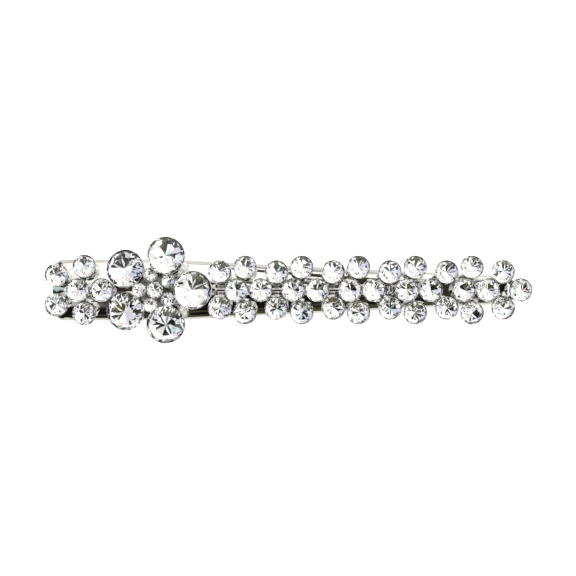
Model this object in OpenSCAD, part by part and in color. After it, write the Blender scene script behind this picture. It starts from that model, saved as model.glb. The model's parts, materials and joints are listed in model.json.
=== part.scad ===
// Spring hair clip with a jewelled upper jaw. Two stamped steel jaws turn on a
// hinge pin and a torsion spring closes them. A flower of large stones and a
// tapering band of small stones, each in its own metal cup, cover the upper jaw.
//
// Millimetres. The clip is drawn level: x runs from the lever end to the nose,
// y = 0 is the plane of symmetry, and z = 0 is the crest of the upper jaw.
// at_rest() then tips it onto its two feet, with the origin under its middle.

/* [Upper jaw] */
// Length of the upper jaw
plate_length = 78.2; // [77:0.1:79]
// Width of the upper jaw behind the hinge
plate_width = 10.6; // [10.4:0.1:11]
// Width of the upper jaw at its nose
nose_width = 4.8; // [4.6:0.1:5.2]
// Radius of the arch across the jaw
arch_radius = 16; // [15:0.5:20]
// Thickness of the stamped sheet
sheet = 0.5; // [0.4:0.05:0.5]
// Depth of the side flanges below the crest
flange_depth = 2.0; // [1.8:0.1:2.1]
// Width of the raised bead along each side
bead_width = 0.9; // [0.6:0.05:1]
// Height of the beads
bead_height = 0.12; // [0.05:0.01:0.2]
// Height of the middle rib
rib_height = 0.25; // [0.2:0.05:0.3]
// Length of the middle rib
rib_length = 29.6; // [20:0.1:30]
// Width of the middle rib
rib_width = 1.5; // [1:0.1:2]

/* [Hinge] */
// Distance of the hinge from the lever end of the upper jaw
hinge_from_rear = 17.5; // [17:0.1:18]
// Depth of the pin's axis below the crest
pin_depth = 2.6; // [2.5:0.05:2.7]
// Diameter of the hinge pin
pin_d = 1.2; // [1:0.05:1.2]
// Radial clearance between the pin and its holes
pin_clearance = 0.05; // [0.02:0.01:0.08]

/* [Lower jaw] */
// Depth of the lever's foot below the crest
lever_depth = 10; // [9:0.1:10]
// Depth of the nose's foot below the crest
nose_depth = 2.5; // [2.5:0.05:2.8]
// Gap between the two jaws at the sides
side_gap = 0.3; // [0.25:0.05:0.4]
// Distance between two teeth
tooth_pitch = 2; // [1:0.1:3]
// Height of a tooth
tooth_height = 0.5; // [0.2:0.05:0.6]

/* [Spring] */
// Diameter of the spring wire
wire_d = 0.4; // [0.3:0.05:0.45]
// Mean diameter of the coil
coil_d = 2.1; // [1.9:0.1:2.1]
// Whole turns of the coil
coil_turns = 4; // [2:1:5]
// Length of each leg
leg_length = 8.2; // [6:0.1:8.6]

/* [Settings] */
// Outer diameter of a small cup
small_d = 4.04; // [3.8:0.02:4.04]
// Outer diameter of a petal cup
petal_d = 6.54; // [6:0.02:6.6]
// Outer diameter of an accent cup
accent_d = 2.46; // [2.2:0.02:2.5]
// Outer diameter of the flower's centre cup
centre_d = 2.86; // [2.6:0.02:2.9]
// Wall thickness of a cup
cup_wall = 0.12; // [0.1:0.01:0.15]
// Thickness of the lattice that carries the small cups
lattice = 0.4; // [0.3:0.05:0.5]

/* [Band] */
// Distance from one unit of the band to the next
unit_pitch = 9.67; // [9.6:0.01:9.8]
// Distance of the last stone's centre in front of the origin
tip_x = 39.54; // [39.4:0.01:39.7]

/* [Flower] */
// Distance of the flower's centre behind the origin
flower_x = 22.6; // [22.4:0.1:22.8]
// Distance of the petals from the flower's centre
petal_reach = 6.17; // [6.1:0.01:6.3]
// Outward lean of the petals in degrees
petal_lean = 14; // [12:0.5:15]
// Distance of the accents from the flower's centre
accent_reach = 2.7; // [2.68:0.01:2.75]

/* [Hidden] */
GROUPS = ["rear", "band_1", "band_2", "band_3", "band_4", "band_5", "tip"];
SIDES = [["_left_stones", 1], ["_right_stones", -1]];
PETALS = [1, 2, 3, 4, 5];
$fn = 48;

// Ends of the upper jaw, and the start of its taper just ahead of the hinge
rear_x = -40.5;
nose_x = rear_x + plate_length;
pin_x = rear_x + hinge_from_rear;
taper_x = pin_x + 2;
taper = (plate_width - nose_width) / 2 / (nose_x - taper_x);
rear_corner = 1.6;
nose_corner = 1.2;
rib_x = -12.3;
dimple_r = 1;

// Ears that hold the pin, and the pin's heads
upper_ear_r = 1.5;
lower_ear_r = 1.25;
pin_head_r = 1;
pin_head = 0.4;
pin_hole_r = pin_d / 2 + pin_clearance;

// Lower jaw: feet, kinks of its floor, wall heights
foot = 3;
lever_x = rear_x + 1;
jaw_nose_x = nose_x - 1.3;
rest_slope = (lever_depth - nose_depth) / (jaw_nose_x - lever_x);
kink_x = pin_x - 1;
kink_depth = 4.8;
lever_wall = 0.9;
wall_rear_top = -1.75;
wall_nose_top = -0.95;
teeth_x = 4;
teeth_end = jaw_nose_x - 2;
lever_corner = 2;
jaw_corner = 1;

// Heights above the crest: top of the lattice, rims of the small cups
lattice_top = rib_height + lattice;
rim_height = lattice_top + cup_depth(small_d);
rim_radius = arch_radius + rim_height;
strip = 0.9;
disc_r = 1.3;

// Places of the stones in one unit, from the unit's first middle stone
mid_step = 4.08;
near_step = [-2.86, 3.1];
far_step = [1.45, 3.92];
rear_near_step = [-3.66, 2.55];
rear_far_step = [1.05, 4.07];
tip_step = [-2.95, 3.13];
rear_group_x = -35.83;
last_unit = len(GROUPS) - 1;

// Levels of the flower above the crest
star_z = 0.6;
accent_z = 1.6;
centre_z = 1.9;
petal_foot_r = 1.5;
petal_z = star_z + petal_foot_r * sin(petal_lean) + 0.1;
front_petal_step = 0.28;

// Cups and stones grow with their diameter
function cup_depth(d) = 0.445 * d;
function foot_radius(d) = 0.36 * d;
function stone_radius(d) = d / 2 - cup_wall - 0.01;

// Distance of petal i's foot from the flower's centre; the first petal points forward and stands farther out
function petal_foot(i) =
    petal_reach - cup_depth(petal_d) * sin(petal_lean) + (i == 1 ? front_petal_step : 0);

// Half width of the upper jaw at x
function half_width(x) = plate_width / 2 - max(0, x - taper_x) * taper;

// Points of a round corner of radius r about the point c
function corner(c, r, from, to, steps = 6) =
    [for (i = [0 : steps]) let (a = from + (to - from) * i / steps) c + r * [cos(a), sin(a)]];

// A half outline with its mirror image across y = 0
function both_sides(half) =
    concat(half, [for (i = [len(half) - 1 : -1 : 0]) [half[i][0], -half[i][1]]]);

// Plan of a jaw between two ends, its edge moved in by inset, its corners round
function jaw_plan(rear, nose, inset, r1, r2) = both_sides(concat(
    corner([rear + r1, half_width(rear) - inset - r1], r1, 180, 90),
    [[taper_x, half_width(taper_x) - inset]],
    corner([nose - r2, half_width(nose) - inset - r2], r2, 90, 0)));

// Plan of the space between a jaw's side walls, open at both ends
function channel_plan(inset) = both_sides([
    [rear_x - 1, half_width(rear_x) - inset],
    [taper_x, half_width(taper_x) - inset],
    [nose_x + 1, half_width(nose_x + 1) - inset]]);

// The stones of group g: the middle row, and one side row
function group_x(g) = g == 0 ? rear_group_x : tip_x - (last_unit - g) * unit_pitch;
function middle_row(g) = g == last_unit ? [[group_x(g), 0]] : [[group_x(g), 0], [group_x(g) + mid_step, 0]];
function side_steps(g) = g == 0 ? [rear_near_step, rear_far_step]
    : g == last_unit ? [tip_step] : [near_step, far_step];
function side_row(g, side) = [for (s = side_steps(g)) [group_x(g) + s[0], side * s[1]]];
function all_spots(g) = concat(middle_row(g), side_row(g, 1), side_row(g, -1));

// Where the cup at spot p stands on the lattice
function footing(p) = [p[0], p[1] * (arch_radius + lattice_top) / rim_radius];

// Turns the level clip onto its feet, with its bounding box centred over the origin
rest_angle = atan(rest_slope);
rear_rim_z = rim_radius * cos(asin(rear_near_step[1] / rim_radius)) - arch_radius;
rear_end = [group_x(0) + rear_near_step[0] - small_d / 2, rear_rim_z];
front_end = [tip_x + small_d / 2, rim_height];
middle = (rear_end + front_end) / 2;
shift_x = -(middle[0] * cos(rest_angle) + middle[1] * sin(rest_angle));
lift_z = lever_x * sin(rest_angle) + lever_depth * cos(rest_angle);

module at_rest() translate([shift_x, 0, lift_z]) rotate([0, rest_angle, 0]) children();

// Extrudes a plan through the whole height of the clip
module prism(points) translate([0, 0, -15]) linear_extrude(30) polygon(points);

// Extrudes a side view, drawn as [x, z], through the whole width of the clip
module slab(points) translate([0, 15, 0]) rotate([90, 0, 0]) linear_extrude(30) polygon(points);

// A solid rod along x, centred on the arch
module arch(r) translate([-60, 0, -arch_radius]) rotate([0, 90, 0]) cylinder(r = r, h = 120, $fn = 128);

// A disc across the clip at the hinge, from y1 to y2
module hinge_disc(r, y1, y2)
    translate([pin_x, y2, -pin_depth]) rotate([90, 0, 0]) cylinder(r = r, h = y2 - y1);

module pin_holes() hinge_disc(pin_hole_r, -10, 10);

module upper_shell() difference() {
    intersection() {
        prism(jaw_plan(rear_x, nose_x, 0, rear_corner, nose_corner));
        arch(arch_radius);
        translate([-60, -10, -flange_depth]) cube([120, 20, 10]);
    }
    intersection() {
        prism(channel_plan(sheet));
        arch(arch_radius - sheet);
    }
}

// Beads along the sides, standing bead_height proud of the arch
module beads() difference() {
    intersection() {
        prism(jaw_plan(rear_x, nose_x, 0, rear_corner, nose_corner));
        arch(arch_radius + bead_height);
    }
    prism(channel_plan(bead_width));
    arch(arch_radius - sheet / 2);
}

module rib_plan() {
    translate([rib_x, -rib_width / 2]) square([rib_length, rib_width]);
    translate([rib_x, 0]) circle(d = rib_width);
    translate([rib_x + rib_length, 0]) circle(r = dimple_r);
}

module rib() difference() {
    intersection() {
        linear_extrude(2, center = true) rib_plan();
        arch(arch_radius + rib_height);
    }
    arch(arch_radius - sheet / 2);
    translate([rib_x + rib_length, 0, -sheet / 2]) cylinder(r = dimple_r / 2, h = 2);
}

module upper_ear(y) {
    hinge_disc(upper_ear_r, y, y + sheet);
    translate([pin_x, y + sheet, 0]) rotate([90, 0, 0]) linear_extrude(sheet)
        polygon([[-3, -1.4], [3, -1.4], [upper_ear_r, -pin_depth], [-upper_ear_r, -pin_depth]]);
}

module upper_jaw() color("silver") difference() {
    union() {
        upper_shell();
        beads();
        rib();
        upper_ear(plate_width / 2 - sheet);
        upper_ear(-plate_width / 2);
    }
    pin_holes();
}

// Underside of the lower jaw: foot, lever, kink below the hinge, jaw, foot
jaw_floor = [
    [lever_x, -lever_depth],
    [lever_x + foot, -lever_depth + foot * rest_slope],
    [kink_x, -kink_depth],
    [jaw_nose_x - foot, -nose_depth - foot * rest_slope],
    [jaw_nose_x, -nose_depth]];

function raised(points, z) = [for (p = points) [p[0], p[1] + z]];

// Top edge of the side walls ahead of the hinge, with its teeth
function wall_z(x) = wall_rear_top + (wall_nose_top - wall_rear_top) * (x - pin_x) / (teeth_end - pin_x);
teeth = [for (x = [teeth_x : tooth_pitch : teeth_end - tooth_pitch])
    for (p = [[x, wall_z(x)], [x + tooth_pitch / 2, wall_z(x) - tooth_height]]) p];
wall_top = concat(
    [[jaw_nose_x + 1, wall_nose_top - 1], [teeth_end, wall_nose_top]],
    [for (i = [len(teeth) - 1 : -1 : 0]) teeth[i]],
    [[pin_x + 2, wall_rear_top], [pin_x + lower_ear_r, -pin_depth], [pin_x - lower_ear_r, -pin_depth],
     [pin_x - 3, -kink_depth + sheet + lever_wall / 2],
     [lever_x + foot, -lever_depth + foot * rest_slope + sheet + lever_wall],
     [lever_x, -lever_depth + sheet + lever_wall]]);
pocket_top = [[jaw_nose_x + 2, 2], [lever_x - 2, 2], [lever_x - 2, -lever_depth + sheet]];

module lower_jaw() color("silver") difference() {
    intersection() {
        union() {
            slab(concat(jaw_floor, wall_top));
            hinge_disc(lower_ear_r, -plate_width / 2, plate_width / 2);
        }
        prism(jaw_plan(lever_x, jaw_nose_x, sheet + side_gap, lever_corner, jaw_corner));
    }
    intersection() {
        slab(concat(raised(jaw_floor, sheet), [[jaw_nose_x + 2, -nose_depth + sheet]], pocket_top));
        prism(channel_plan(2 * sheet + side_gap));
    }
    pin_holes();
}

module hinge_pin() color("gainsboro") {
    hinge_disc(pin_d / 2, -plate_width / 2, plate_width / 2);
    hinge_disc(pin_head_r, plate_width / 2, plate_width / 2 + pin_head);
    hinge_disc(pin_head_r, -plate_width / 2 - pin_head, -plate_width / 2);
}

// The spring's centre line: the upper leg, the coil about the pin, the lower leg
upper_leg_angle = 4.8;
lower_leg_angle = 20.4;
ring_step = 30;
coil_start = 90 - upper_leg_angle;
coil_sweep = 360 * coil_turns + 180 - upper_leg_angle - lower_leg_angle;
coil_pitch = wire_d * 1.12;
coil_steps = ceil(coil_sweep / ring_step);
function coil_y(turned) = coil_pitch * (turned - coil_sweep / 2) / 360;
function coil_point(turned) = [
    pin_x + coil_d / 2 * cos(coil_start - turned),
    coil_y(turned),
    -pin_depth + coil_d / 2 * sin(coil_start - turned)];
upper_leg_end = coil_point(0) + leg_length * [-cos(upper_leg_angle), 0, sin(upper_leg_angle)];
lower_leg_end = coil_point(coil_sweep) + leg_length * [-cos(lower_leg_angle), 0, -sin(lower_leg_angle)];
spring_line = concat(
    [upper_leg_end],
    [for (i = [0 : coil_steps]) coil_point(coil_sweep * i / coil_steps)],
    [lower_leg_end]);
wire_sides = 8;

// A ring of the wire at point i of the line, square to the line there. The line
// lies nearly in planes of constant y, so y serves as one axis of each ring.
function along(line, i) = line[min(i + 1, len(line) - 1)] - line[max(i - 1, 0)];
function unit(v) = v / norm(v);
function wire_ring(line, i) = let (out = unit(cross([0, 1, 0], along(line, i))))
    [for (s = [0 : wire_sides - 1]) line[i]
        + wire_d / 2 * (cos(360 * s / wire_sides) * out + sin(360 * s / wire_sides) * [0, 1, 0])];

module torsion_spring() color("darkgray") {
    n = len(spring_line);
    polyhedron(
        points = [for (i = [0 : n - 1]) for (p = wire_ring(spring_line, i)) p],
        faces = concat(
            [[for (s = [wire_sides - 1 : -1 : 0]) s]],
            [for (i = [0 : n - 2]) for (s = [0 : wire_sides - 1]) let (t = (s + 1) % wire_sides)
                [i * wire_sides + s, i * wire_sides + t, (i + 1) * wire_sides + t, (i + 1) * wire_sides + s]],
            [[for (s = [0 : wire_sides - 1]) (n - 1) * wire_sides + s]]));
}

// A cup of outer diameter d, standing on z = 0 with its rim up
module cup(d) color("silver") rotate_extrude() polygon([
    [0, 0],
    [foot_radius(d), 0],
    [d / 2, cup_depth(d)],
    [d / 2 - cup_wall, cup_depth(d)],
    [d / 2 - cup_wall, cup_depth(d) * 0.88],
    [foot_radius(d) - cup_wall, cup_wall],
    [0, cup_wall]]);

// The stone of a cup of outer diameter d: point down, girdle at the rim, flat table
module stone(d) color("aliceblue") rotate_extrude() polygon([
    [0, cup_wall + 0.05 * d],
    [stone_radius(d) * 0.1, cup_wall + 0.05 * d],
    [stone_radius(d), cup_depth(d) * 0.95],
    [stone_radius(d), cup_depth(d) * 1.02],
    [stone_radius(d) * 0.52, cup_depth(d) + 0.19 * d],
    [0, cup_depth(d) + 0.19 * d]]);

// Stands a cup or stone on the lattice, square to the arch
module on_lattice(p) translate([p[0], 0, -arch_radius])
    rotate([-asin(p[1] / rim_radius), 0, 0])
        translate([0, 0, arch_radius + lattice_top]) children();

module cups_at(spots) for (p = spots) on_lattice(p) cup(small_d);
module stones_at(spots) for (p = spots) on_lattice(p) stone(small_d);

// A flat strip of the lattice between two cups
module link(p, q) let (a = footing(p), b = footing(q))
    translate(a) rotate(atan2(b[1] - a[1], b[0] - a[0]))
        translate([0, -strip / 2]) square([norm(b - a), strip]);

module lattice_plan(spots) {
    for (p = spots) translate(footing(p)) circle(r = disc_r);
    for (i = [1 : len(spots) - 1]) link(spots[0], spots[i]);
}

module lattice_sheet() color("silver") intersection() {
    difference() {
        arch(arch_radius + lattice_top);
        arch(arch_radius + rib_height);
    }
    linear_extrude(6, center = true) children();
}

module band_lattice() lattice_sheet() for (g = [1 : last_unit]) {
    lattice_plan(all_spots(g));
    if (g < last_unit) for (side = [1, -1]) link(middle_row(g)[1], side_row(g + 1, side)[0]);
}

module rear_lattice() lattice_sheet() lattice_plan(all_spots(0));

module in_flower() translate([-flower_x, 0, 0]) children();
module at_petal(i) in_flower() rotate(72 * (i - 1)) translate([petal_foot(i), 0, petal_z])
    rotate([0, petal_lean, 0]) children();
module at_accent(i) in_flower() rotate(72 * (i - 1) + 36) translate([accent_reach, 0, accent_z]) children();
module at_centre() in_flower() translate([0, 0, centre_z]) children();

// Star plate on a saddle that fits the arch, with a seat for each cup of the flower
saddle_r = 3;
boss_r = 3;
star_bottom = 0.1;
arm_width = 2.2;
pad_depth = 1.2;
seat_rim = 0.2;

module star_plan() {
    circle(r = boss_r);
    for (i = PETALS) rotate(72 * (i - 1)) {
        translate([0, -arm_width / 2]) square([petal_foot(i), arm_width]);
        translate([petal_foot(i), 0]) circle(r = petal_foot_r + seat_rim);
    }
}

module flower_base() color("silver") {
    in_flower() translate([0, 0, star_bottom]) linear_extrude(star_z - star_bottom) star_plan();
    difference() {
        in_flower() translate([0, 0, -1]) cylinder(r = saddle_r, h = 1 + star_bottom);
        arch(arch_radius);
    }
    in_flower() cylinder(r = boss_r, h = accent_z);
    in_flower() cylinder(r = foot_radius(centre_d), h = centre_z);
    difference() {
        for (i = PETALS) at_petal(i) translate([0, 0, -pad_depth]) cylinder(r = petal_foot_r, h = pad_depth);
        in_flower() translate([-10, -10, star_bottom - 10]) cube([20, 20, 10]);
    }
}

at_rest() upper_jaw();
at_rest() lower_jaw();
at_rest() hinge_pin();
at_rest() torsion_spring();
at_rest() band_lattice();
at_rest() rear_lattice();
at_rest() flower_base();
at_rest() at_centre() cup(centre_d);  // centre_cup
at_rest() at_centre() stone(centre_d);  // centre_stone

for (i = PETALS) {
    at_rest() at_petal(i) cup(petal_d);
    at_rest() at_petal(i) stone(petal_d);
    at_rest() at_accent(i) cup(accent_d);
    at_rest() at_accent(i) stone(accent_d);
}

for (g = [0 : last_unit]) {
    at_rest() cups_at(all_spots(g));
    at_rest() stones_at(middle_row(g));
    for (s = SIDES)
        at_rest() stones_at(side_row(g, s[1]));
}
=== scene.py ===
"""Looks of the jewelled spring hair clip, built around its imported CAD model.

Sizes are millimetres on the level clip: x runs from the lever end to the nose, y = 0 is the plane of
symmetry and z = 0 is the crest of the upper jaw. LEVEL turns them into metres in the CAD model's frame,
where the clip stands on its feet and its upper jaw slopes down to the nose.
"""
import json
import math
import random

import bmesh
import bpy
from mathutils import Matrix, Vector


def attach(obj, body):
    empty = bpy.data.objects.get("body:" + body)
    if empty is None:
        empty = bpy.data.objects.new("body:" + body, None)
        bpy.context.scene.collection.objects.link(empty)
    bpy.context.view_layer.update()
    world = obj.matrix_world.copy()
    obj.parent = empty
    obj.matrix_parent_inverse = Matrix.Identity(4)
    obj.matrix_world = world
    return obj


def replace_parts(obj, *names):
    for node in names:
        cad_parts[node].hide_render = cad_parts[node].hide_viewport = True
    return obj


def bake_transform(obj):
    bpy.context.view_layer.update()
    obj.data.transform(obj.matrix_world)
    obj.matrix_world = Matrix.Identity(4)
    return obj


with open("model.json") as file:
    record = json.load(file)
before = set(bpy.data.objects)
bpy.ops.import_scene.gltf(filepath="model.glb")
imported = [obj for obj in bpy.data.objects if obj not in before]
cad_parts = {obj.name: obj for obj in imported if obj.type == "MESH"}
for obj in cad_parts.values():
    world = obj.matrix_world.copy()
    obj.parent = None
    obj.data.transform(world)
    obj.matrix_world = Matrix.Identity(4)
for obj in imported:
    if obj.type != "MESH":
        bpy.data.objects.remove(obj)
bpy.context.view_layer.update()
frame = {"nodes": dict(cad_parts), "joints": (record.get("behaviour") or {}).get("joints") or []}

MM = 0.001

# Upper jaw: a sheet arched across its width, with stepped beads, a rib and flanges
REAR_X, NOSE_X = -40.5, 37.7
PLATE_WIDTH, NOSE_WIDTH = 10.6, 4.8
TAPER_X = -21.0
ARCH_RADIUS = 16.0
SHEET = 0.5
FLANGE_DEPTH = 2.0
REAR_CORNER, NOSE_CORNER = 1.6, 1.2
RIB_REAR, RIB_NOSE, RIB_WIDTH, RIB_HEIGHT = -12.3, 17.3, 1.5, 0.25
RIB_RADIUS = ((RIB_WIDTH / 2) ** 2 + RIB_HEIGHT ** 2) / (2 * RIB_HEIGHT)
EAR_RADIUS, EAR_ROOT_X, EAR_ROOT_Z = 1.5, 3.0, -1.6

# Its stamped relief. A bead runs along each side, getting broader and higher towards the nose, with a fine
# step beside it and a falling border at the edge. The beads and the flanges fade out over a run before a gap
# at each end. A ring with a dent in it ends the rib, and the rear end is rolled down. A share of the relief
# shows on the underside. Without a flange, the sheet's edge still hangs a lip below the underside.
BEAD_WIDTHS, BEAD_BROADENS = (0.92, 2.24), (-14.0, 30.0)
BEAD_HEIGHTS, BEAD_RISES = (0.05, 0.11), (-17.0, -8.0)
BEAD_SLOPE, BEAD_ROOM = 0.6, 3.3
FINE_STEP, FINE_STEP_FROM, FINE_STEP_TO = 0.014, 0.9, 0.58
BEAD_GAPS, BEAD_RUNS = (0.6, 0.5), (1.2, 1.2)
FLANGE_GAPS, FLANGE_RUNS = (0.9, 0.7), (1.6, 1.4)
BORDER, BORDER_SLOPE, BORDER_BEND = 1.15, 0.30, 0.15
RING_RADIUS, RING_HEIGHT, RING_WIDTH, RING_CLEARS = 0.72, 0.16, 0.16, 0.9
DENT_RADIUS, DENT_DEPTH = 0.35, 0.10
ROLL_LENGTH, ROLL_DEPTH = 3.0, 0.35
RELIEF_BELOW, LIP, INNER_BEND = 0.8, 0.12, 0.10
TOP_STEPS, UNDER_STEPS = 46, 24

# Hinge and spring
PIN_X, PIN_DEPTH, PIN_RADIUS = -23.0, 2.6, 0.6
PIN_HEAD_RADIUS, PIN_HEAD = 1.0, 0.4
WIRE_D, COIL_D, COIL_TURNS, LEG_LENGTH = 0.4, 2.1, 4, 8.2
COIL_PITCH = 1.12 * WIRE_D
UPPER_LEG_ANGLE, LOWER_LEG_ANGLE = 4.8, 20.4

# Feet of the lower jaw, which set how far the resting clip tips
LEVER_X, JAW_NOSE_X = -39.5, 36.4
LEVER_DEPTH, NOSE_DEPTH = 10.0, 2.5

# Cups and stones. A crown is a share of its cup's diameter, and the girdle is placed by shares of the cup's
# depth. The pavilion and the corners of the table, stars and lower facets are shares of the stone's radius.
SMALL_D, PETAL_D, ACCENT_D, CENTRE_D = 4.04, 6.54, 2.46, 2.86
LATTICE_TOP = RIB_HEIGHT + 0.4
CUP_SLOPE = 0.445
RIM_INSET, STONE_INSET = 0.015, 0.045
CROWN, PAVILION = 0.17, 0.20
GIRDLE_LOW, GIRDLE_TOP = 0.94, 0.97
TABLE, STAR, LOWER = 0.56, 0.78, 0.30
CULET_SHIFT, TILT = 0.06, 0.03
RIM_HEIGHT = LATTICE_TOP + CUP_SLOPE * SMALL_D

# Band and rear group
UNIT_PITCH, TIP_X, REAR_GROUP_X = 9.67, 39.54, -35.83
MID_STEP = 4.08
GROUPS = ("rear", "band_1", "band_2", "band_3", "band_4", "band_5", "tip")

# From a group's first middle stone to the stones on its left, which those on its right mirror
SIDE_STEPS = {
    "rear": ((-3.66, 2.55), (1.05, 4.07)),
    "band": ((-2.86, 3.1), (1.45, 3.92)),
    "tip": ((-2.95, 3.13),),
}

# Flower
FLOWER_X = -22.6
PETAL_REACH, PETAL_LEAN, FRONT_PETAL_STEP = 6.17, math.radians(14), 0.28
ACCENT_REACH, ACCENT_Z, CENTRE_Z = 2.7, 1.6, 1.9
BASE_Z, PETAL_FOOT_RADIUS, PETAL_GAP = 0.6, 1.5, 0.1
PETAL_Z = BASE_Z + PETAL_FOOT_RADIUS * math.sin(PETAL_LEAN) + PETAL_GAP

# Camera: its distance from the small cups' rims, how wide its view is there, and the middle of that view
CAMERA_DISTANCE, VIEW_WIDTH, LOOK_X, LOOK_Y = 230.0, 97.92, -0.04, 0.34

# From the level clip to the CAD model's frame
REST_ANGLE = math.atan((LEVER_DEPTH - NOSE_DEPTH) / (JAW_NOSE_X - LEVER_X))
TURN = Matrix.Rotation(REST_ANGLE, 4, "Y")
HINGE = Vector(frame["joints"][0]["pos_m"])
PIN = Vector((PIN_X, 0, -PIN_DEPTH)) * MM
LEVEL = Matrix.Translation(HINGE - TURN @ PIN) @ TURN @ Matrix.Scale(MM, 4)

rng = random.Random(11)


# Node helpers

def fill_ramp(ramp, stops):
    """Gives a colour ramp its (position, colour) stops."""
    elements = ramp.color_ramp.elements
    while len(elements) < len(stops):
        elements.new(0.5)
    for element, (position, colour) in zip(elements, stops):
        element.position = position
        element.color = (*colour, 1)


class Shader:
    """A material's node tree, with short calls to add and join nodes."""

    def __init__(self, name):
        self.material = bpy.data.materials.new(name)
        self.material.use_nodes = True
        self.tree = self.material.node_tree
        self.bsdf = self.tree.nodes["Principled BSDF"]
        self.place = self.add("ShaderNodeTexCoord").outputs["Object"]

    def add(self, kind):
        return self.tree.nodes.new(kind)

    def link(self, out, into):
        self.tree.links.new(out, into)

    def set(self, **values):
        for key, value in values.items():
            self.bsdf.inputs[key.replace("_", " ")].default_value = value

    def noise(self, scale, detail=2.0, stretch=(1, 1, 1)):
        """Noise over the piece; scale is in waves per metre, times the stretch along each axis."""
        mapping = self.add("ShaderNodeMapping")
        mapping.inputs["Scale"].default_value = stretch
        self.link(self.place, mapping.inputs["Vector"])
        noise = self.add("ShaderNodeTexNoise")
        noise.inputs["Scale"].default_value = scale
        noise.inputs["Detail"].default_value = detail
        self.link(mapping.outputs["Vector"], noise.inputs["Vector"])
        return noise.outputs["Fac"]

    def ramp(self, factor, stops):
        """Colours a factor by (position, colour) stops."""
        ramp = self.add("ShaderNodeValToRGB")
        fill_ramp(ramp, stops)
        self.link(factor, ramp.inputs["Fac"])
        return ramp.outputs["Color"]

    def spread(self, factor, low, high):
        """Maps a noise factor, which is mostly between 0.3 and 0.7, onto the range from low to high."""
        node = self.add("ShaderNodeMapRange")
        for key, value in {"From Min": 0.3, "From Max": 0.7, "To Min": low, "To Max": high}.items():
            node.inputs[key].default_value = value
        self.link(factor, node.inputs["Value"])
        return node.outputs["Result"]

    def bump(self, height, distance):
        """Raises the surface by up to a distance in metres."""
        node = self.add("ShaderNodeBump")
        node.inputs["Distance"].default_value = distance
        self.link(height, node.inputs["Height"])
        self.link(node.outputs["Normal"], self.bsdf.inputs["Normal"])


def metal(name, light, dark, gloss, streaks, bump):
    """Plated metal: cloudy colour, roughness in streaks along the piece, and a faint surface wave."""
    s = Shader(name)
    s.set(Metallic=1.0)
    clouds = s.noise(900, detail=4)
    s.link(s.ramp(clouds, [(0.35, dark), (0.65, light)]), s.bsdf.inputs["Base Color"])
    scratches = s.noise(9000, detail=3, stretch=streaks)
    s.link(s.spread(scratches, *gloss), s.bsdf.inputs["Roughness"])
    s.bump(s.noise(1400, detail=2, stretch=streaks), bump)
    return s.material


def crystal():
    """Clear lead crystal, with the faintest change of tint from place to place."""
    s = Shader("clear_crystal")
    s.set(Transmission_Weight=1.0, IOR=1.54, Roughness=0.0)
    bluish, clear, pinkish = (0.90, 0.94, 1.0), (1.0, 1.0, 1.0), (1.0, 0.93, 0.95)
    tint = s.ramp(s.noise(420, detail=1), [(0.30, bluish), (0.45, clear), (0.58, clear), (0.70, pinkish)])
    s.link(tint, s.bsdf.inputs["Base Color"])
    return s.material


def foil():
    """The silver foil behind the stones."""
    s = Shader("silver_foil")
    s.set(Metallic=1.0)
    silver = s.ramp(s.noise(2500), [(0.4, (0.90, 0.91, 0.92)), (0.6, (0.98, 0.98, 0.98))])
    s.link(silver, s.bsdf.inputs["Base Color"])
    s.link(s.spread(s.noise(5000), 0.0, 0.01), s.bsdf.inputs["Roughness"])
    return s.material


ALONG, AROUND, EVEN = (0.12, 1, 1), (1, 4, 1), (1, 1, 1)
NICKEL = metal("nickel_plate", (0.69, 0.68, 0.66), (0.61, 0.60, 0.58), (0.03, 0.08), ALONG, 0.000003)
JAW_STEEL = metal("brushed_nickel", (0.55, 0.54, 0.52), (0.49, 0.48, 0.46), (0.12, 0.24), ALONG, 0.000004)
SETTING = metal("rhodium_cup", (0.84, 0.84, 0.84), (0.72, 0.72, 0.72), (0.08, 0.16), EVEN, 0.000004)
SPRING = metal("spring_steel", (0.66, 0.65, 0.63), (0.50, 0.49, 0.48), (0.22, 0.34), AROUND, 0.000004)
RIVET = metal("rivet_steel", (0.78, 0.78, 0.77), (0.66, 0.66, 0.65), (0.16, 0.26), AROUND, 0.000004)
CRYSTAL = crystal()
FOIL = foil()
# The lattices and the flower's base get a near-black metal colour: painted shade for the gaps between the
# cups.
SHADE_DARK_BACKING = metal("shade_dark_backing", (0.26, 0.25, 0.23), (0.10, 0.095, 0.085), (0.18, 0.34), EVEN, 0.000008)


# Mesh helpers

def new_piece(name, verts, faces, materials, body="upper", face_slots=None, smooth=None, place=LEVEL):
    """A piece from vertices in millimetres, which place moves into the CAD model's frame."""
    mesh = bpy.data.meshes.new(name)
    mesh.from_pydata([place @ Vector(v) for v in verts], [], faces)
    return finish_piece(name, mesh, materials, body, face_slots, smooth)


def finish_piece(name, mesh, materials, body, face_slots=None, smooth=None):
    """Shades a mesh flat, or smooth up to an angle, and makes it a piece that rides on a body."""
    for material in materials:
        mesh.materials.append(material)
    if face_slots:
        mesh.polygons.foreach_set("material_index", face_slots)
    bm = bmesh.new()
    bm.from_mesh(mesh)
    bmesh.ops.recalc_face_normals(bm, faces=bm.faces)
    bm.to_mesh(mesh)
    bm.free()
    if smooth is None:
        mesh.shade_flat()
    else:
        mesh.shade_smooth()
        mesh.set_sharp_from_angle(angle=math.radians(smooth))
    piece = bpy.data.objects.new(name, mesh)
    bpy.context.scene.collection.objects.link(piece)
    if body:
        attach(piece, body)
    return piece


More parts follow.
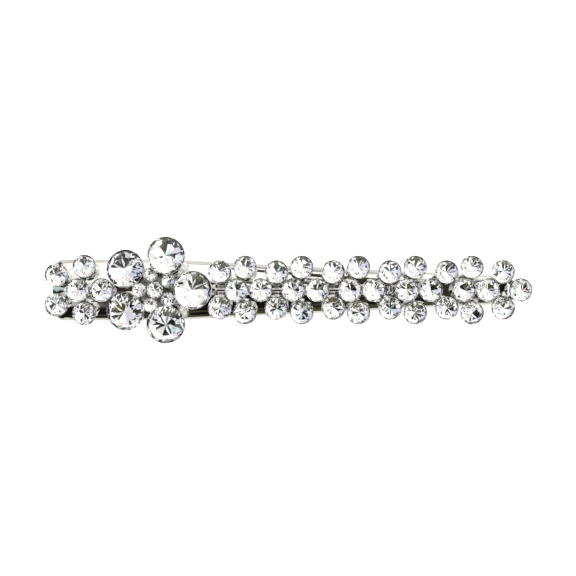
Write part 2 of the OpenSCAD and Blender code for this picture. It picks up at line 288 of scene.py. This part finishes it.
def softened(node, material, width, body="upper"):
    """A copy of a CAD node with its sharp edges rounded by a width, which stands for the node."""
    bm = bmesh.new()
    bm.from_mesh(frame["nodes"][node].data)
    bmesh.ops.remove_doubles(bm, verts=bm.verts, dist=0.002 * MM)
    bmesh.ops.dissolve_limit(bm, angle_limit=math.radians(2), verts=bm.verts, edges=bm.edges)
    sharp = [e for e in bm.edges if len(e.link_faces) == 2 and e.calc_face_angle(0) > math.radians(28)]
    bmesh.ops.bevel(bm, geom=sharp, offset=width * MM, segments=2, profile=0.5, affect="EDGES",
                    clamp_overlap=True)
    mesh = bpy.data.meshes.new(node + "_soft")
    bm.to_mesh(mesh)
    bm.free()
    piece = finish_piece(node + "_soft", mesh, [material], body, smooth=40)
    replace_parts(piece, node)
    return piece


def turned(profile, steps):
    """Vertices and faces of a profile of (radius, height) points turned about z."""
    verts, rings = [], []
    for radius, height in profile:
        if radius == 0:
            rings.append([len(verts)] * steps)
            verts.append((0, 0, height))
            continue
        rings.append([len(verts) + i for i in range(steps)])
        verts += [(radius * math.cos(math.tau * i / steps), radius * math.sin(math.tau * i / steps), height)
                  for i in range(steps)]
    faces = []
    for low, high in zip(rings, rings[1:]):
        for i in range(steps):
            j = (i + 1) % steps
            ring = [low[i], low[j], high[j], high[i]]
            face = [v for n, v in enumerate(ring) if v not in ring[:n]]
            if len(face) > 2:
                faces.append(face)
    return verts, faces


def skinned(rings):
    """Vertices and faces of a skin over rings of points, closed at both ends."""
    size = len(rings[0])
    verts = [point for ring in rings for point in ring]
    last = len(verts) - size
    faces = []
    for start in range(0, last, size):
        for k in range(size):
            n = (k + 1) % size
            faces.append((start + k, start + n, start + size + n, start + size + k))
    faces += [tuple(range(size)), tuple(range(last, last + size))]
    return verts, faces


def arc(centre, radius, start, end, steps):
    """Points along an arc about a centre, from one angle to another in degrees."""
    angles = [math.radians(start + (end - start) * i / steps) for i in range(steps + 1)]
    return [(centre[0] + radius * math.cos(a), centre[1] + radius * math.sin(a)) for a in angles]


# Stones and cups

def cup_depth(d):
    return CUP_SLOPE * d


def brilliant(d):
    """A foiled stone for a cup of diameter d: vertices, faces, and which faces are foiled.

    Above the girdle are the eight-sided table and star, main and girdle facets. Below it are sixteen wedges
    and sixteen long lower facets. Small random shifts keep any two stones from catching the light alike.
    """
    radius = d / 2 - STONE_INSET
    girdle_low, girdle_top = GIRDLE_LOW * cup_depth(d), GIRDLE_TOP * cup_depth(d)
    crown, pavilion = CROWN * d, PAVILION * radius
    cos_half = math.cos(math.pi / 8)

    def ring(count, reach, height, offset=0.0, shift=0.0, lift=0.0):
        points = []
        for i in range(count):
            a = math.tau * (i + offset) / count
            r = radius * reach * (1 + rng.uniform(-shift, shift))
            points.append((r * math.cos(a), r * math.sin(a), height + rng.uniform(-lift, lift) * radius))
        return points

    star_z = girdle_top + crown * (1 - STAR * cos_half) / (1 - TABLE)
    lower_z = girdle_low - pavilion * (1 - LOWER * cos_half)
    verts = (ring(8, TABLE, girdle_top + crown)
             + ring(8, STAR, star_z, 0.5, shift=0.01)
             + ring(16, 1, girdle_top)
             + ring(16, 1, girdle_low, lift=0.018)
             + ring(8, LOWER, lower_z, 0.5, shift=0.15, lift=0.03))
    culet_xy = [rng.uniform(-CULET_SHIFT, CULET_SHIFT) * radius for _ in range(2)]
    verts.append((*culet_xy, girdle_low - pavilion))
    tables, stars, tops, lows, inners, culet = 0, 8, 16, 32, 48, 56
    faces, foiled = [tuple(range(8))], [0]
    for k in range(8):
        corner, next_corner, star, inner = tables + k, tables + (k + 1) % 8, stars + k, inners + k
        around = (2 * k, 2 * k + 1, (2 * k + 2) % 16)
        top_1, top_2, top_3 = [tops + v for v in around]
        low_1, low_2, low_3 = [lows + v for v in around]
        crown_faces = [(corner, next_corner, star), (corner, star, top_1), (next_corner, top_3, star),
                       (star, top_1, top_2), (star, top_2, top_3)]
        back_faces = [(top_1, top_2, low_2, low_1), (top_2, top_3, low_3, low_2),
                      (inner, low_2, low_1), (inner, low_3, low_2),
                      (inner, low_1, culet), (inner, culet, low_3)]
        faces += crown_faces + back_faces
        foiled += [0] * len(crown_faces) + [1] * len(back_faces)
    return verts, faces, foiled


def cup_profile(d):
    """Section of a pressed cup: rounded foot, straight flaring wall, thin rim turned in over the stone."""
    foot, rim, depth = 0.36 * d, d / 2 - RIM_INSET, cup_depth(d)
    bend, lip, lip_width = 0.12, 0.02, 0.05
    outside = [(0, 0)] + arc((foot - bend, bend), bend, -90, -15, 4)
    outside += [(rim - lip, depth * 0.82), (rim, depth * 0.93)]
    turned_in = arc((rim - lip, depth), lip, 0, 120, 5) + [(rim - lip_width, depth + 0.008)]
    inside = [(rim - lip_width, depth - 0.004), (rim - lip_width / 2, depth * 0.97),
              (rim - 0.09, depth * 0.80), (foot - 0.16, 0.14), (0, bend)]
    return outside + turned_in + inside


def on_lattice(spot):
    """Where a small cup stands: square to the arch, on the lattice."""
    x, y = spot
    lean = -math.asin(y / (ARCH_RADIUS + RIM_HEIGHT))
    return (Matrix.Translation((x, 0, -ARCH_RADIUS)) @ Matrix.Rotation(lean, 4, "X")
            @ Matrix.Translation((0, 0, ARCH_RADIUS + LATTICE_TOP)))


def in_flower(turn, reach, height, lean=0.0):
    """Where a cup of the flower stands, turned about the flower's middle and leaning outwards."""
    return (Matrix.Translation((FLOWER_X, 0, 0)) @ Matrix.Rotation(math.radians(turn), 4, "Z")
            @ Matrix.Translation((reach, 0, height)) @ Matrix.Rotation(lean, 4, "Y"))


def random_tilt(axis):
    """A stone's small fault in its seat."""
    return Matrix.Rotation(rng.uniform(-TILT, TILT), 4, axis)


def set_stone(name, d, place, cup_node, stone_node, steps):
    """One stone and its cup, standing at a place, for the CAD nodes that hold them."""
    verts, faces = turned(cup_profile(d), steps)
    cup = new_piece(name + "_cup", verts, faces, [SETTING], smooth=35, place=LEVEL @ place)
    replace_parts(cup, cup_node)
    verts, faces, foiled = brilliant(d)
    spin = Matrix.Rotation(rng.uniform(0, math.tau), 4, "Z")
    tilt = random_tilt("X") @ random_tilt("Y")
    stone = new_piece(name + "_stone", verts, faces, [CRYSTAL, FOIL], face_slots=foiled,
                      place=LEVEL @ place @ tilt @ spin)
    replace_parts(stone, stone_node)


def group_x(g):
    """Where the first stone of a group's middle row stands."""
    return REAR_GROUP_X if g == 0 else TIP_X - (len(GROUPS) - 1 - g) * UNIT_PITCH


def set_small_stones():
    """The rear group, the band's units of six and its tip of three."""
    for g, group in enumerate(GROUPS):
        x = group_x(g)
        steps = SIDE_STEPS[group.split("_")[0]]
        rows = {
            "middle": [(x + MID_STEP * i, 0) for i in range(len(steps))],
            "left": [(x + dx, dy) for dx, dy in steps],
            "right": [(x + dx, -dy) for dx, dy in steps],
        }
        for row, spots in rows.items():
            for i, spot in enumerate(spots):
                name = f"{group}_{row}_{i + 1}"
                set_stone(name, SMALL_D, on_lattice(spot), f"{group}_cups", f"{group}_{row}_stones", 40)


def set_flower():
    """Five petals that lean outwards, five accents between them and the centre."""
    petal_foot = PETAL_REACH - cup_depth(PETAL_D) * math.sin(PETAL_LEAN)
    for i in range(5):
        n = i + 1
        reach = petal_foot + (FRONT_PETAL_STEP if n == 1 else 0)
        set_stone(f"petal_{n}", PETAL_D, in_flower(72 * i, reach, PETAL_Z, PETAL_LEAN),
                  f"petal_cup_{n}", f"petal_stone_{n}", 64)
        set_stone(f"accent_{n}", ACCENT_D, in_flower(72 * i + 36, ACCENT_REACH, ACCENT_Z),
                  f"accent_cup_{n}", f"accent_stone_{n}", 32)
    set_stone("centre", CENTRE_D, in_flower(0, 0, CENTRE_Z), "centre_cup", "centre_stone", 36)


# Upper jaw

def share(x, start, end):
    """How far x is on the way from start to end, from 0 to 1."""
    return min(1.0, max(0.0, (x - start) / (end - start)))


def ease(x, start, end):
    """The same share, but starting and stopping softly."""
    t = share(x, start, end)
    return t * t * (3 - 2 * t)


def clear_of_ends(x, gaps, runs):
    """1 along the jaw, easing to 0 over a run before a gap at its rear end and at its nose."""
    rear, nose = REAR_X + gaps[0], NOSE_X - gaps[1]
    return ease(x, rear, rear + runs[0]) * ease(x, nose, nose - runs[1])


def arch(y):
    """Height of the plain arch, which is 0 at its crest."""
    return math.sqrt(ARCH_RADIUS ** 2 - y ** 2) - ARCH_RADIUS


def half_width(x):
    """Half the upper jaw's width at x, with its round corners."""
    w = (PLATE_WIDTH - (PLATE_WIDTH - NOSE_WIDTH) * share(x, TAPER_X, NOSE_X)) / 2
    for gap, r in ((x - REAR_X, REAR_CORNER), (NOSE_X - x, NOSE_CORNER)):
        if gap < r:
            w += math.sqrt(max(0.0, r * r - (r - gap) ** 2)) - r
    return w


def beads(x, w, edge):
    """Height of the bead, its fine step and the falling border, at a distance from the jaw's edge."""
    rear_width, nose_width = BEAD_WIDTHS
    rear_height, nose_height = BEAD_HEIGHTS
    width = rear_width + (nose_width - rear_width) * share(x, *BEAD_BROADENS)
    height = rear_height + (nose_height - rear_height) * ease(x, *BEAD_RISES)
    height *= min(1, (w - width) / BEAD_ROOM)
    bead = height * ease(edge, width + BEAD_SLOPE / 2, width - BEAD_SLOPE / 2)
    step = FINE_STEP * ease(edge, width + FINE_STEP_FROM, width + FINE_STEP_TO)
    slope = max(0, BORDER_SLOPE - (w - BORDER / 2) / ARCH_RADIUS)
    outside = max(0, BORDER - edge)
    border = slope * outside ** 2 / (outside + BORDER_BEND)
    return (bead + step - border) * clear_of_ends(x, BEAD_GAPS, BEAD_RUNS)


def rib_and_ring(x, y):
    """Height of the round rib, and of the ring and dent at its nose end."""
    along = max(RIB_REAR - x, x - RIB_NOSE, 0)
    rib = math.sqrt(max(0, RIB_RADIUS ** 2 - along ** 2 - y ** 2)) - RIB_RADIUS + RIB_HEIGHT
    from_ring = math.hypot(x - RIB_NOSE, y)
    ring = RING_HEIGHT * math.exp(-((from_ring - RING_RADIUS) / RING_WIDTH) ** 2)
    dent = DENT_DEPTH * math.exp(-(from_ring / DENT_RADIUS) ** 2)
    return max(rib, 0) * ease(from_ring, 0, RING_CLEARS) + ring - dent


def relief(x, y, w):
    """Height of the stamped relief over the arch at (x, y), where the jaw reaches w to each side."""
    rolled = ROLL_DEPTH * share(x, REAR_X + ROLL_LENGTH, REAR_X) ** 2
    return beads(x, w, w - abs(y)) + rib_and_ring(x, y) - rolled


# The sheet's rolled edge: steps out and down from where the arch ends
EDGE = ((0.05, -0.025), (0.12, -0.075), (0.20, -0.14), (0.28, -0.212), (0.36, -0.292), (0.41, -0.355),
        (0.44, -0.42), (0.45, -0.50))

# A flange's rounded foot: steps in from its face and up from its lowest point
FOOT = ((0, 0.08), (0.03, 0.02), (0.10, 0))


def jaw_section(x):
    """Points (y, z) round the sheet's section at x, over its top and then back along its underside."""
    w = half_width(x)
    top_half = w - EDGE[-1][0]
    edge_z = arch(top_half) + relief(x, top_half, w)
    under_z = edge_z - SHEET
    foot_z = min(under_z - LIP, -FLANGE_DEPTH * clear_of_ends(x, FLANGE_GAPS, FLANGE_RUNS))
    top = []
    for i in range(TOP_STEPS + 1):
        t = 2 * i / TOP_STEPS - 1
        y = top_half * (0.45 * t + 0.55 * math.sin(math.pi / 2 * t))
        top.append((y, arch(y) + relief(x, y, w)))
    outer = [(top_half + dy, edge_z + dz) for dy, dz in EDGE] + [(w - dy, foot_z + dz) for dy, dz in FOOT]
    inner_w = w - SHEET
    bend = INNER_BEND if foot_z < under_z - 2 * INNER_BEND else 0
    inner = [(inner_w + dy, foot_z + dz) for dy, dz in reversed(FOOT)]
    inner += [(inner_w, under_z - bend), (inner_w - LIP, under_z)]
    under = []
    for i in range(UNDER_STEPS + 1):
        y = (inner_w - 0.25) * (1 - 2 * i / UNDER_STEPS)
        under.append((y, arch(y) - SHEET + RELIEF_BELOW * relief(x, y, w)))
    right = outer + inner
    return top + right + under + [(-y, z) for y, z in reversed(right)]


def stations():
    """Places along the jaw: a millimetre apart, and closer at its ends, the rib's ends and the ring."""
    rear_zone, nose_zone = 3.2, 3.0
    xs = {REAR_X + rear_zone + i for i in range(72)}
    for i in range(25):
        inwards = 1 - math.cos(math.pi / 2 * i / 24)
        xs |= {REAR_X + rear_zone * inwards, NOSE_X - nose_zone * inwards}
    xs |= {RIB_REAR - 1 + 0.1 * i for i in range(14)}
    xs |= {RIB_NOSE - 1.3 + 0.08 * i for i in range(34)}
    ordered = sorted(x for x in xs if REAR_X <= x <= NOSE_X)
    return [x for x, after in zip(ordered, ordered[1:] + [None]) if after is None or after - x > 0.01]


def upper_jaw():
    """The stamped plate with its two ears."""
    verts, faces = skinned([[(x, y, z) for y, z in jaw_section(x)] for x in stations()])
    jaw = new_piece("stamped_upper_jaw", verts, faces, [NICKEL], smooth=35)
    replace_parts(jaw, "upper_jaw")
    for side, name in ((1, "left"), (-1, "right")):
        ear(side, name)


def ear(side, name):
    """A flat ear with softened edges, which hangs from the flange and holds the pin."""
    y = side * (PLATE_WIDTH / 2 - SHEET / 2)
    shoulder_x, shoulder_z = 0.97 * EAR_RADIUS, 0.2 - PIN_DEPTH
    half, soft = 0.24, 0.06
    outline = [(-EAR_ROOT_X, EAR_ROOT_Z), (-shoulder_x, shoulder_z)]
    outline += arc((0, -PIN_DEPTH), EAR_RADIUS, 170, 370, 24)
    outline += [(shoulder_x, shoulder_z), (EAR_ROOT_X, EAR_ROOT_Z)]
    layers = []
    for offset, inset in ((-half, soft), (soft - half, 0), (half - soft, 0), (half, soft)):
        shrink = 1 - inset / EAR_RADIUS
        layers.append([(PIN_X + px * shrink, y + offset, -PIN_DEPTH + (pz + PIN_DEPTH) * shrink)
                       for px, pz in outline])
    verts, faces = skinned(layers)
    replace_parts(new_piece("ear_" + name, verts, faces, [NICKEL], smooth=35), "upper_jaw")


# Pin and spring

def hinge_pin():
    """Rivet with two domed heads, along y."""
    face, dome = PLATE_WIDTH / 2, 0.95
    seat = face + 0.005
    half = [(0, face + PIN_HEAD)] + arc((0, face + PIN_HEAD - dome), dome, 90, 35, 6)[1:]
    half += [(PIN_HEAD_RADIUS * 0.9, face + 0.16), (PIN_HEAD_RADIUS, face + 0.09),
             (PIN_HEAD_RADIUS, seat), (PIN_RADIUS, seat)]
    verts, faces = turned(half + [(r, -z) for r, z in reversed(half)], 40)
    along_y = Matrix.Translation((PIN_X, 0, -PIN_DEPTH)) @ Matrix.Rotation(math.pi / 2, 4, "X")
    pin = new_piece("rivet_pin", verts, faces, [RIVET], smooth=35, place=LEVEL @ along_y)
    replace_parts(pin, "hinge_pin")


def spring_line():
    """Centre line of the torsion spring: upper leg, coil about the pin, lower leg."""
    start = 90 - UPPER_LEG_ANGLE
    sweep = 360 * COIL_TURNS + 180 - UPPER_LEG_ANGLE - LOWER_LEG_ANGLE

    def coil(turned_by):
        a = math.radians(start - turned_by)
        y = COIL_PITCH * (turned_by - sweep / 2) / 360
        return Vector((PIN_X + COIL_D / 2 * math.cos(a), y, -PIN_DEPTH + COIL_D / 2 * math.sin(a)))

    def leg(root, angle, up, reach):
        a = math.radians(angle)
        return root + LEG_LENGTH * reach * Vector((-math.cos(a), 0, up * math.sin(a)))

    steps = 150
    reaches = (1.0, 0.99, 0.75, 0.5, 0.25, 0.1)
    upper = [leg(coil(0), UPPER_LEG_ANGLE, 1, reach) for reach in reaches]
    lower = [leg(coil(sweep), LOWER_LEG_ANGLE, -1, reach) for reach in reversed(reaches)]
    return upper + [coil(sweep * i / steps) for i in range(steps + 1)] + lower


def torsion_spring():
    """Round wire along the spring's line, with chamfered ends, on neither jaw."""
    line = spring_line()
    last, sides, chamfer = len(line) - 1, 12, 0.7
    angles = [math.tau * k / sides for k in range(sides)]
    rings = []
    for i, point in enumerate(line):
        ahead = (line[min(i + 1, last)] - line[max(i - 1, 0)]).normalized()
        out = Vector((0, 1, 0)).cross(ahead).normalized()
        across = ahead.cross(out)
        radius = WIRE_D / 2 * (chamfer if i in (0, last) else 1)
        rings.append([point + radius * (math.cos(a) * out + math.sin(a) * across) for a in angles])
    verts, faces = skinned(rings)
    spring = new_piece("coiled_spring", verts, faces, [SPRING], body=None, smooth=40)
    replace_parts(spring, "torsion_spring")
    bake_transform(spring)


# Stage

def stage_floor():
    """A pale matt floor that gives off a little light, so that it is as white as the photo's background."""
    bpy.ops.mesh.primitive_plane_add(size=6)
    floor = bpy.context.object
    floor.name = "floor"
    s = Shader("pale_floor")
    pale = s.ramp(s.noise(3, detail=1), [(0.3, (0.90, 0.90, 0.90)), (0.7, (0.93, 0.93, 0.93))])
    s.link(pale, s.bsdf.inputs["Base Color"])
    s.set(Roughness=0.9, Specular_IOR_Level=0.0, Emission_Color=(1, 1, 1, 1), Emission_Strength=0.62)
    floor.data.materials.append(s.material)


def direction(azimuth, tilt):
    """A unit vector of the level clip's frame, tilt degrees from straight up, in the CAD model's frame."""
    a, t = math.radians(azimuth), math.radians(tilt)
    level = Vector((math.sin(t) * math.cos(a), math.sin(t) * math.sin(a), math.cos(t)))
    return (TURN @ level).normalized()


BLACK = (0.010, 0.009, 0.008)
OLIVE = (0.09, 0.096, 0.038)

# Panels of the tent that the stones and cups mirror: where each colour begins on a panel's random 0 to 1
PANELS = (
    (0.0, BLACK), (0.235, (0.05, 0.045, 0.04)), (0.26, (0.30, 0.29, 0.31)),
    (0.28, (0.76, 0.73, 0.88)), (0.32, (0.98, 0.80, 0.68)), (0.35, (0.88, 0.91, 0.66)),
    (0.38, (0.72, 0.89, 0.87)), (0.41, (0.88, 0.87, 0.83)),
    (0.50, (1.12, 1.12, 1.07)), (0.62, (1.5, 1.5, 1.45)),
)
PANELS_PER_RADIAN = 3.7

# Patches over them that the upper jaw mirrors: azimuth, tilt, half angle and softness in degrees, colour
JAW_PATCHES = (
    (0, 180, 112, 14, (0.9, 0.9, 0.9)),
    (-90, 80, 16, 4, (1.0, 1.0, 0.96)), (-90, 50, 13, 4, OLIVE), (90, 56, 14, 4, (1.0, 1.0, 0.97)),
    (90, 78, 18, 6, (1.0, 1.0, 0.96)),
    (90, 20, 8, 3, (1.7, 1.7, 1.7)), (90, 30, 8, 3, (1.7, 1.7, 1.7)), (90, 40, 8, 3, (1.7, 1.7, 1.7)),
    (90, 35, 6, 3, (0.60, 0.61, 0.56)),
    (-90, 37, 8, 3, OLIVE), (-90, 30, 8, 3, OLIVE), (-118, 31, 9, 3, BLACK), (-138, 33, 9, 3, BLACK),
    (-128, 42, 8, 3, BLACK), (-158, 25, 9, 3, BLACK),
    (-90, 17, 9, 3, BLACK), (-90, 9, 9, 3, BLACK),
    (90, 1.5, 9.5, 3, BLACK), (-90, 1, 6, 6, (0.075, 0.065, 0.045)),
)


def studio():
    """A light tent of white, grey, tinted and black panels, with the upper jaw's patches over them."""
    world = bpy.data.worlds.new("light_tent")
    bpy.context.scene.world = world
    world.use_nodes = True
    tree = world.node_tree
    looking = tree.nodes.new("ShaderNodeTexCoord").outputs["Generated"]
    cells = tree.nodes.new("ShaderNodeTexVoronoi")
    cells.inputs["Scale"].default_value = PANELS_PER_RADIAN
    tree.links.new(looking, cells.inputs["Vector"])
    split = tree.nodes.new("ShaderNodeSeparateColor")
    tree.links.new(cells.outputs["Color"], split.inputs[0])
    ramp = tree.nodes.new("ShaderNodeValToRGB")
    ramp.color_ramp.interpolation = "CONSTANT"
    fill_ramp(ramp, PANELS)
    tree.links.new(split.outputs[0], ramp.inputs["Fac"])
    colour = ramp.outputs["Color"]
    for azimuth, tilt, half, soft, shade in JAW_PATCHES:
        dot = tree.nodes.new("ShaderNodeVectorMath")
        dot.operation = "DOT_PRODUCT"
        tree.links.new(looking, dot.inputs[0])
        dot.inputs[1].default_value = direction(azimuth, tilt)
        inside = tree.nodes.new("ShaderNodeMapRange")
        inside.interpolation_type = "SMOOTHSTEP"
        inside.inputs["From Min"].default_value = math.cos(math.radians(half + soft / 2))
        inside.inputs["From Max"].default_value = math.cos(math.radians(half - soft / 2))
        tree.links.new(dot.outputs["Value"], inside.inputs["Value"])
        mix = tree.nodes.new("ShaderNodeMix")
        mix.data_type = "RGBA"
        tree.links.new(inside.outputs["Result"], mix.inputs["Factor"])
        tree.links.new(colour, mix.inputs["A"])
        mix.inputs["B"].default_value = (*shade, 1)
        colour = mix.outputs["Result"]
    tree.links.new(colour, tree.nodes["Background"].inputs["Color"])
    bpy.context.scene.view_settings.view_transform = "Standard"


def softbox(name, azimuth, tilt, distance, size, power):
    """A square soft light aimed at the clip, its distance and size in metres."""
    light = bpy.data.lights.new(name, "AREA")
    light.size = size
    light.energy = power
    lamp = bpy.data.objects.new(name, light)
    bpy.context.scene.collection.objects.link(lamp)
    away = direction(azimuth, tilt)
    lamp.location = away * distance
    lamp.rotation_euler = away.to_track_quat("Z", "Y").to_euler()


def camera():
    """Looks square onto the upper jaw, as the photo's camera does."""
    data = bpy.data.cameras.new("camera")
    eye = bpy.data.objects.new("camera", data)
    bpy.context.scene.collection.objects.link(eye)
    data.sensor_width = 36
    data.lens = data.sensor_width * CAMERA_DISTANCE / VIEW_WIDTH
    data.clip_start = 0.01
    stand = LEVEL @ Vector((LOOK_X, LOOK_Y, RIM_HEIGHT + CAMERA_DISTANCE))
    eye.matrix_world = Matrix.Translation(stand) @ TURN
    bpy.context.scene.camera = eye


camera()
studio()
softbox("side_softbox", azimuth=60, tilt=62, distance=0.6, size=0.3, power=0.45)
stage_floor()
upper_jaw()
softened("lower_jaw", JAW_STEEL, 0.07, body="lower")
hinge_pin()
torsion_spring()
# The lattices and the flower's base wear the dark metal that paints the shade between the cups.
softened("band_lattice", SHADE_DARK_BACKING, 0.05)
softened("rear_lattice", SHADE_DARK_BACKING, 0.05)
softened("flower_base", SHADE_DARK_BACKING, 0.05)
set_small_stones()
set_flower()
